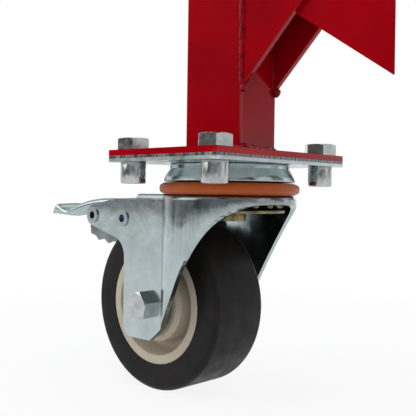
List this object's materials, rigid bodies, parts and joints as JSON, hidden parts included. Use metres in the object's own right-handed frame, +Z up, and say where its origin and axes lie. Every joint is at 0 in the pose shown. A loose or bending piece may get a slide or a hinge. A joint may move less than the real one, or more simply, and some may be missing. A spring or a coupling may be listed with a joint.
{
  "type": "portable gantry crane foot with swivel brake castor",
  "caption": "Lower leg of a portable gantry crane: square-cut post with knee brace on a bolted swivel castor with a pedal brake.",
  "frame": {"origin": "centre of the post's open top end, which is where the foot carries the rest of the crane", "axes": "+Z up along the post and the swivel axis; +X from the post towards the knee brace; +Y along the wheel's axle"},
  "size_m": [0.3175, 0.14, 0.4075],
  "materials": {
    "red_paint": "gloss",
    "zinc_sheet": "bright zinc plated",
    "fastener_steel": "satin zinc plated",
    "bearing_steel": "polished, greased",
    "orange_plastic": "satin",
    "beige_core": "matte",
    "black_tread": "matte",
    "grey_plastic": "matte"
  },
  "bodies": {
    "leg": {"foot_plate": "red_paint", "post": "red_paint", "front_cheek": "red_paint", "rear_cheek": "red_paint", "brace": "red_paint", "foot_bolts": "fastener_steel", "sleeve_nuts": "fastener_steel", "top_plate": "zinc_sheet", "bearing_cup": "zinc_sheet", "kingpin": "bearing_steel", "kingpin_nut": "bearing_steel", "race_washer": "bearing_steel"},
    "yoke": {"yoke": "zinc_sheet", "dust_ring": "orange_plastic", "upper_balls": "bearing_steel", "lower_balls": "bearing_steel", "axle_bolt": "fastener_steel", "axle_washer": "fastener_steel", "axle_nut": "fastener_steel", "axle_sleeve": "bearing_steel", "front_dust_cap": "grey_plastic", "rear_dust_cap": "grey_plastic", "pedal_pivot": "fastener_steel", "stop_rivets": "fastener_steel"},
    "wheel": {"wheel_core": "beige_core", "tyre": "black_tread", "front_bearing": "bearing_steel", "rear_bearing": "bearing_steel"},
    "pedal": {"brake_pedal": "zinc_sheet", "brake_shoe": "zinc_sheet", "shoe_pad": "zinc_sheet"}
  },
  "joints": [
    {"name": "swivel", "type": "hinge", "parent": "leg", "child": "yoke", "pos_m": [0, 0, -0.2651], "axis": [0, 0, 1], "continuous": true},
    {"name": "wheel_roll", "type": "hinge", "parent": "yoke", "child": "wheel", "pos_m": [-0.05, 0, -0.345], "axis": [0, 1, 0], "continuous": true},
    {"name": "pedal_press", "type": "hinge", "parent": "yoke", "child": "pedal", "pos_m": [-0.1096, 0, -0.2822], "axis": [0, -1, 0], "range_deg": [0, 16]}
  ]
}
